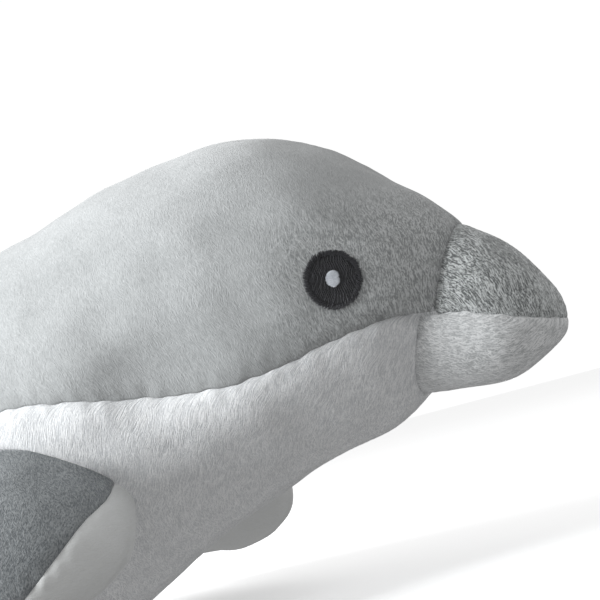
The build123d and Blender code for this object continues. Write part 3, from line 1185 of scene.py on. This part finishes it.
@dataclass
class DorsalFin:
    """The grey fin on the back.

    Attributes:
        below, above: how far on both sides of the hinge the ends of its ride are put; nothing here sways the
            fin along them.
    """

    cloth: Cloth
    below: float = 9.0
    above: float = 13.0
    rows: tuple = (
        (43, -14, -41, -14, 10), (40, -6, -39, -6, 9.5), (35, 4, -37, 5, 9), (27, 16, -37, 15, 8.5),
        (15, 28, -38.5, 25, 7.2), (0, 38, -41, 34, 5.8), (-16, 45, -44.5, 41, 4), (-32, 49, -48, 46, 2.2),
        (-43, 50, -49.5, 48.5, 0.8), (-49, 49.6, -49.3, 49.6, 0),
    )

    def build(self) -> None:
        """Makes the fin."""
        joint = next(j for j in frame["joints"] if j["name"] == "dorsal_fin_sway")
        chord = np.array(joint["axis"], float)
        span = np.array([-chord[2], 0, chord[0]])
        hinge = joint_place("dorsal_fin_sway")
        fin = Fin("dorsal_fin", hinge, chord, span, self.rows, self.cloth)
        below, above = hinge - span * self.below, hinge + span * self.above
        ride = Ride("torso", "dorsal_fin", tuple(below), tuple(above))
        for label, towards in (("left", 1), ("right", -1)):
            nodes = (f"dorsal_{label}_panel",) + (("dorsal_stuffing",) if label == "left" else ())
            finish_piece(fin.panel(label, towards), Finishes.GREY, ride, nodes)


@dataclass
class Fluke:
    """The two-lobed fluke, grey above and white below.

    Attributes:
        ahead, behind: how far on both sides of the hinge the ends of its ride are put; nothing here bends the
            fluke along them.
        half_rows: rows of the left lobe; the right lobe mirrors them.
    """

    cloth: Cloth
    ahead: float = 15.0
    behind: float = 17.0
    half_rows: tuple = (
        (-168, 0, -243, 0, 16), (-172, 9, -247, 6, 15.8), (-184, 19, -252, 16, 15),
        (-199, 31, -257, 29, 13.2), (-214, 46, -262, 44, 11), (-230, 62, -266, 58, 8.5),
        (-246, 76, -268.5, 71, 5.8), (-259, 85, -270, 81, 3), (-266, 88.2, -269.5, 87.2, 0.9),
        (-268, 88.6, -268.3, 88.6, 0),
    )

    def build(self) -> None:
        """Makes both panels."""
        hinge = joint_place("fluke_bend")
        other = [(lx, -ly, tx, -ty, half) for lx, ly, tx, ty, half in self.half_rows[:0:-1]]
        rows = tuple(other) + self.half_rows
        origin = np.array([0, 0, hinge[2]])
        chord, span = np.array([1.0, 0, 0]), np.array([0, 1.0, 0])
        fin = Fin("fluke", origin, chord, span, rows, self.cloth, size=(220, 110))
        ahead, behind = hinge + chord * self.ahead, hinge - chord * self.behind
        ride = Ride("tail", "fluke", tuple(ahead), tuple(behind))
        finish_piece(fin.panel("top", 1), Finishes.GREY, ride,
                     ("fluke_top_panel", "fluke_stuffing"))
        finish_piece(fin.panel("under", -1), Finishes.WHITE, ride, ("fluke_under_panel",))


# ------------------------------------------------------------------ thread work
class ThreadWork:
    """Lays many separate stitches of thread with one Geometry Nodes tree."""

    def __init__(self) -> None:
        """Builds the tree: a plump stitch on each point, turned and stretched by the point's own values."""
        tree = bpy.data.node_groups.new("thread_work", "GeometryNodeTree")
        sockets = tree.interface
        sockets.new_socket(name="Geometry", in_out="INPUT", socket_type="NodeSocketGeometry")
        self.thickness = sockets.new_socket(name="Thickness", in_out="INPUT", socket_type="NodeSocketFloat")
        self.thread = sockets.new_socket(name="Thread", in_out="INPUT", socket_type="NodeSocketMaterial")
        sockets.new_socket(name="Geometry", in_out="OUTPUT", socket_type="NodeSocketGeometry")
        g = Graph(tree)
        start = tree.nodes.new("NodeGroupInput")
        points, thick, thread = (Wire(g, start.outputs[i]) for i in range(3))
        named = "GeometryNodeInputNamedAttribute"
        aim = g.node(named, {"data_type": "FLOAT_VECTOR"}, {"Name": "aim"}, "Attribute")
        reach = g.node(named, {"data_type": "FLOAT"}, {"Name": "reach"}, "Attribute")
        spreading = {"Min": 0.85, "Max": 1.2, "Seed": 7}
        uneven = g.node("FunctionNodeRandomValue", {"data_type": "FLOAT"}, spreading, "Value")
        turn = g.node("FunctionNodeAlignRotationToVector", {"axis": "Z"}, {"Vector": aim})
        wide = thick * uneven
        size = g.node("ShaderNodeCombineXYZ", {}, {"X": wide, "Y": wide, "Z": reach})
        stitch = g.node("GeometryNodeMeshUVSphere", {}, {"Segments": 8, "Rings": 6, "Radius": 1.0})
        laid = g.node("GeometryNodeInstanceOnPoints", {}, {
            "Points": points, "Instance": stitch, "Rotation": turn, "Scale": size})
        real = g.node("GeometryNodeRealizeInstances", {}, {"Geometry": laid})
        smooth = g.node("GeometryNodeSetShadeSmooth", {}, {0: real})
        dyed = g.node("GeometryNodeSetMaterial", {}, {"Geometry": smooth, "Material": thread})
        finish = tree.nodes.new("NodeGroupOutput")
        tree.links.new(dyed.socket, finish.inputs[0])
        self.tree = tree

    def lay(self, name: str, places: np.ndarray, aims: np.ndarray, reaches: np.ndarray, thickness: float,
            finish: Finishes) -> bpy.types.Object:
        """Lays stitches.

        Args:
            name: name of the new object.
            places: middle of each stitch, in millimetres.
            aims: direction of each stitch.
            reaches: half length of each stitch, in millimetres.
            thickness: half thickness of the thread, in millimetres.
            finish: the thread.

        Returns:
            One object that holds all the stitches.
        """
        mesh = bpy.data.meshes.new(name)
        mesh.from_pydata((places * MM).tolist(), [], [])
        paint(mesh, "aim", unit(aims))
        paint(mesh, "reach", reaches * MM)
        piece = add_object(name, mesh)
        work = piece.modifiers.new("thread_work", "NODES")
        work.node_group = self.tree
        work[self.thickness.identifier] = thickness * MM
        work[self.thread.identifier] = finish.material
        ready = piece.evaluated_get(bpy.context.evaluated_depsgraph_get())
        laid = bpy.data.meshes.new_from_object(ready)
        piece.modifiers.remove(work)
        piece.data = laid
        return piece


def merge(main: bpy.types.Object, other: bpy.types.Object) -> bpy.types.Object:
    """Joins two pieces.

    Args:
        main: the piece that stays.
        other: the piece whose mesh is added to it and that is then removed.

    Returns:
        The main piece.
    """
    work = bmesh.new()
    work.from_mesh(main.data)
    work.from_mesh(other.data)
    work.to_mesh(main.data)
    work.free()
    bpy.data.objects.remove(other)
    main.data.polygons.foreach_set("use_smooth", [True] * len(main.data.polygons))
    return main


@dataclass
class Eye:
    """An embroidered eye: a slanted satin rim, upright rows of stitches inside it, and a pale highlight.

    Attributes:
        side: left or right.
        radius: outer radius of the eye, rim the width of its satin rim, highlight the dot's radius.
    """

    side: str
    form: BodyForm
    cloth: Cloth
    threads: ThreadWork
    radius: float = 8.95
    rim: float = 1.9
    highlight: float = 2.45

    def __post_init__(self) -> None:
        """Reads the eye's place from the frame."""
        low, high = (np.array(corner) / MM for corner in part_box(f"eye_{self.side}"))
        self.sign = 1 if self.side == "left" else -1
        guess = (low + high) / 2
        start = self.form.place_at(guess[0])
        angle = 0.25 if self.sign > 0 else math.pi - 0.25
        place, turn = self.form.locate(guess[None, :], start, angle)
        self.start = (float(place[0]), float(turn[0]))
        self.centre = self.form.surface(place, turn)[0]
        self.out = self.form.normal(place, turn)[0]
        self.up = unit(np.array([0, 0, 1.0]) - self.out * self.out[2])
        self.across = np.cross(self.up, self.out)

    def lay_out(self, flat: np.ndarray, height: float) -> np.ndarray:
        """Puts points of the flat design onto the stuffed surface.

        Args:
            flat: points of the design, across and up.
            height: how far above the surface they lie.

        Returns:
            The points in the frame.
        """
        raw = self.centre + flat[:, 0:1] * self.across + flat[:, 1:2] * self.up
        place, turn = self.form.locate(raw, *self.start)
        smooth, out = self.form.surface(place, turn), self.form.normal(place, turn)
        return smooth + out * (self.cloth.lift(smooth) + height)[:, None]

    def sew(self, name: str, flat: np.ndarray, aims: np.ndarray, reaches: np.ndarray, height: float,
            thickness: float, finish: Finishes) -> bpy.types.Object:
        """Lays stitches of the flat design.

        Args:
            name: name of the new object.
            flat: middle of each stitch.
            aims: direction of each stitch.
            reaches: half length of each stitch.
            height: how far above the surface they lie.
            thickness: half thickness of the thread.
            finish: the thread.

        Returns:
            One object that holds the stitches.
        """
        step = 0.3
        places = self.lay_out(flat, height)
        ahead = self.lay_out(flat + aims * step, height) - self.lay_out(flat - aims * step, height)
        return self.threads.lay(name, places, ahead, reaches, thickness, finish)

    def pad(self, name: str, radius: float, height: float) -> bpy.types.Object:
        """Makes the closed pad of thread that lies under the stitches.

        Args:
            name: name of the new object.
            radius: its radius.
            height: how far its middle stands above the surface.

        Returns:
            The new object.
        """
        rings, count = 9, 48
        turns = np.linspace(0, 2 * math.pi, count, endpoint=False)
        flat = [np.stack([np.cos(turns), np.sin(turns)], 1) * radius * (k + 1) / rings for k in range(rings)]
        flat = np.concatenate([[[0.0, 0.0]]] + flat)
        away = np.linalg.norm(flat, axis=1) / radius
        top = self.lay_out(flat, 0.0) + self.out * (height * np.sqrt(np.maximum(1 - away ** 6, 0)))[:, None]
        low = top[-count:] - self.out * 1.2
        points = np.concatenate([top, low, [self.centre - self.out * 3]])
        faces = [(0, 1 + k, 1 + (k + 1) % count) for k in range(count)]
        for ring in range(rings):
            for k in range(count):
                a, b = 1 + ring * count + k, 1 + ring * count + (k + 1) % count
                faces.append((a, a + count, b + count, b))
        last = len(points) - 1
        faces += [(last - count + k, last, last - count + (k + 1) % count) for k in range(count)]
        mesh = bpy.data.meshes.new(name)
        mesh.from_pydata((points * MM).tolist(), [], faces)
        clean(mesh)
        return add_object(name, mesh)

    def rim_stitches(self, draw: np.random.Generator) -> bpy.types.Object:
        """Sews the slanted satin rim; its ends are uneven, so the edge looks serrated."""
        count = 118
        turns = np.linspace(0, 2 * math.pi, count, endpoint=False) + draw.normal(0, 0.006, count)
        far = self.radius - self.rim / 2 + draw.normal(0.1, 0.16, count)
        slant = turns + math.radians(24) * self.sign
        aims = np.stack([np.cos(slant), np.sin(slant)], 1)
        flat = np.stack([np.cos(turns), np.sin(turns)], 1) * far[:, None]
        reaches = self.rim / 2 * draw.uniform(0.9, 1.3, count)
        return self.sew(f"eye_{self.side}_rim", flat, aims, reaches, 0.5, 0.25, Finishes.BLACK_THREAD)

    def inner_stitches(self, draw: np.random.Generator) -> bpy.types.Object:
        """Sews upright, slightly wavy rows inside the rim."""
        inside = self.radius - self.rim + 0.25
        flat, reaches = [], []
        for number, across in enumerate(np.arange(-inside + 0.2, inside, 0.37)):
            chord = math.sqrt(max(inside ** 2 - across ** 2, 0.05))
            middles = np.arange(-chord + 0.5 + 0.9 * (number % 3), chord, 2.5)
            for up in middles:
                wave = 0.22 * math.sin(up * 0.9 + 0.4 * number)
                flat.append((across + wave, up + draw.normal(0, 0.12)))
                reaches.append(min(1.35, chord + 0.2 - abs(up) + 0.7))
        flat = np.array(flat)
        lean = 0.2 * np.cos(flat[:, 1] * 0.9)
        aims = unit(np.stack([lean, np.ones(len(flat))], 1))
        return self.sew(f"eye_{self.side}_rows", flat, aims, np.array(reaches), 0.36, 0.22,
                        Finishes.BLACK_THREAD)

    def dot_stitches(self, draw: np.random.Generator) -> bpy.types.Object:
        """Sews the pale highlight with short level stitches, flattened on the toy's rear side."""
        flat, reaches = [], []
        for up in np.arange(-self.highlight + 0.1, self.highlight, 0.27):
            chord = math.sqrt(max(self.highlight ** 2 - up ** 2, 0.1))
            rear = min(chord, self.highlight * 0.86)
            flat.append((-self.sign * (rear - chord) / 2 + draw.normal(0, 0.06), up))
            reaches.append((rear + chord) / 2 + draw.normal(0, 0.07))
        flat = np.array(flat)
        aims = np.stack([np.ones(len(flat)), np.full(len(flat), 0.06)], 1)
        return self.sew(f"eye_{self.side}_highlight", flat, aims, np.array(reaches), 0.78, 0.2,
                        Finishes.PALE_THREAD)

    def build(self) -> None:
        """Makes the eye and its highlight."""
        draw = np.random.default_rng(11)
        eye = self.pad(f"eye_{self.side}_thread", self.radius - 0.5, 0.35)
        eye.data.materials.append(Finishes.BLACK_THREAD.material)
        for stitches in (self.rim_stitches(draw), self.inner_stitches(draw)):
            merge(eye, stitches)
        ride = Ride("torso")
        finish_piece(eye, Finishes.BLACK_THREAD, ride, (f"eye_{self.side}",))
        dot = self.dot_stitches(draw)
        finish_piece(dot, Finishes.PALE_THREAD, ride, (f"eye_highlight_{self.side}",))


@dataclass
class ClosingStitches:
    """The ladder of hand stitches that closes the side seam after stuffing."""

    form: BodyForm
    cloth: Cloth
    threads: ThreadWork
    count: int = 9

    def build(self, ride: Ride) -> None:
        """Lays the stitches across the seam, inside the span that the CAD stitches take.

        Args:
            ride: the ride of the covers there, which the stitches share.
        """
        low, high = (np.array(corner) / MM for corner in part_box("closing_stitches"))
        draw = np.random.default_rng(5)
        places, aims = [], []
        for x in np.linspace(low[0] + 0.6, high[0] - 0.6, self.count):
            place = np.array([self.form.place_at(x)])
            angle = self.form.seam_angle(place)
            spot, out = self.form.surface(place, angle)[0], self.form.normal(place, angle)[0]
            up = self.form.surface(place, angle + 0.05)[0] - spot
            places.append(spot + out * (float(self.cloth.lift(spot)) - 0.2))
            aims.append(unit(up) + np.array([draw.normal(0.12, 0.1), 0, 0]))
        reaches = np.full(self.count, 2.4) + draw.normal(0, 0.15, self.count)
        stitches = self.threads.lay("closing_stitches_thread", np.array(places), np.array(aims), reaches, 0.5,
                                    Finishes.GREY_THREAD)
        finish_piece(stitches, Finishes.GREY_THREAD, ride, ("closing_stitches",))


# ------------------------------------------------------------------ studio
@dataclass
class Studio:
    """Pale floor, soft light and the camera."""

    azimuth: float = 22.0
    roll: float = 16.0
    distance: float = 450.0
    behind_tip: float = 86.0
    aim_height: float = 101.0
    lens: float = 78.95

    def camera(self) -> None:
        """Sets the camera by the head's right side, tipped with the toy's nose."""
        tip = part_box("beak_upper_panel")[1][0] / MM
        turn, roll = math.radians(self.azimuth), math.radians(self.roll)
        tilt = Matrix.Rotation(roll, 3, "Y")
        back = tilt @ Vector((math.sin(turn), -math.cos(turn), 0))
        right = tilt @ Vector((math.cos(turn), math.sin(turn), 0))
        up = tilt @ Vector((0, 0, 1))
        data = bpy.data.cameras.new("camera")
        data.lens, data.sensor_width = self.lens, 36.0
        data.clip_start = 0.01
        camera = bpy.data.objects.new("camera", data)
        bpy.context.scene.collection.objects.link(camera)
        target = Vector((tip - self.behind_tip, 0, self.aim_height)) * MM
        place = Matrix((right, up, back)).transposed().to_4x4()
        place.translation = target + back * self.distance * MM
        camera.matrix_world = place
        bpy.context.scene.camera = camera

    def lamp(self, name: str, place: tuple, size: float, power: float, colour: tuple = (1, 1, 1)) -> None:
        """Adds a soft square lamp that faces the toy.

        Args:
            name: its name.
            place: its position, in metres.
            size: its width, in metres.
            power: its power, in watts.
            colour: colour of its light.
        """
        data = bpy.data.lights.new(name, "AREA")
        data.size, data.energy, data.color = size, power, colour
        lamp = bpy.data.objects.new(name, data)
        bpy.context.scene.collection.objects.link(lamp)
        lamp.location = place
        aim = Vector((0.08, 0, 0.08)) - Vector(place)
        lamp.rotation_euler = aim.to_track_quat("-Z", "Y").to_euler()

    def floor(self) -> None:
        """Makes a wide pale floor under the toy."""
        low = CAD_BOX[0][2]
        mesh = bpy.data.meshes.new("floor")
        reach = 12.0
        corners = [(x * reach, y * reach, low) for x, y in ((-1, -1), (1, -1), (1, 1), (-1, 1))]
        mesh.from_pydata(corners, [], [(0, 1, 2, 3)])
        floor = bpy.data.objects.new("floor", mesh)
        bpy.context.scene.collection.objects.link(floor)
        material = bpy.data.materials.new("floor")
        material.use_nodes = True
        material.node_tree.nodes.clear()
        g = Graph(material.node_tree)
        speckle = g.node("ShaderNodeTexNoise", {}, {"Scale": 30.0, "Detail": 2.0})
        shader = g.node("ShaderNodeBsdfPrincipled", {}, {
            "Base Color": g.blend(speckle, (0.88, 0.88, 0.88), (0.92, 0.92, 0.92)), "Roughness": 0.9,
            "Specular IOR Level": 0.1, "Emission Color": (1, 1, 1), "Emission Strength": 0.35})
        g.node("ShaderNodeOutputMaterial", {}, {"Surface": shader})
        mesh.materials.append(material)
        floor.visible_diffuse = False

    def world(self) -> None:
        """Fills the room with soft white light, stronger from above."""
        world = bpy.data.worlds.new("room")
        bpy.context.scene.world = world
        world.use_nodes = True
        world.node_tree.nodes.clear()
        g = Graph(world.node_tree)
        seen = g.node("ShaderNodeLightPath", output="Is Camera Ray")
        way = g.node("ShaderNodeTexCoord", output="Generated")
        height = g.node("ShaderNodeSeparateXYZ", {}, {"Vector": way}, "Z")
        soft = g.node("ShaderNodeMath", {"operation": "MAXIMUM"}, {0: height, 1: 0.0}) * 0.44 + 0.34
        shader = g.node("ShaderNodeBackground", {}, {
            "Color": (1, 1, 1), "Strength": soft + seen * (1.02 - soft)})
        g.node("ShaderNodeOutputWorld", {}, {"Surface": shader})

    def build(self) -> None:
        """Makes the whole studio."""
        self.camera()
        self.floor()
        self.world()
        self.lamp("key", (-1.08, -0.85, 0.55), 0.88, 46.0, (0.96, 0.985, 1.0))
        self.lamp("back", (-0.3, 0.8, 0.7), 0.6, 1.5)
        scene = bpy.context.scene
        scene.view_settings.view_transform = "Standard"


def main() -> None:
    """Builds the toy and its studio."""
    logging.basicConfig(level=logging.INFO, format="%(message)s")
    Studio().build()
    form = BodyForm()
    threads = ThreadWork()
    sockets = tuple(Dent((213, side * 44, 99), (11, 11, 11), -1.3) for side in (1, -1))
    stuffing = [Dent((226, 0, 131), (14, 26, 14), -1.8)]
    for side in (1, -1):
        stuffing += [
            Dent((207, side * 54, 96), (24, 22, 28), 3.2),
            Dent((156, side * 60, 86), (20, 16, 12), -2.4),
            Dent((180, side * 48, 69), (26, 14, 9), 1.4),
        ]
    cloth = Cloth(floor=CAD_BOX[0][2] / MM, dents=sockets + tuple(stuffing))
    covers = BodyCovers(form, cloth)
    covers.build()
    for side in ("left", "right"):
        Eye(side, form, cloth, threads).build()
    ClosingStitches(form, cloth, threads).build(covers.sway_ride)
    Flippers(cloth).build()
    DorsalFin(cloth).build()
    Fluke(cloth).build()
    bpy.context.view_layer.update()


if __name__ == "__main__":
    main()
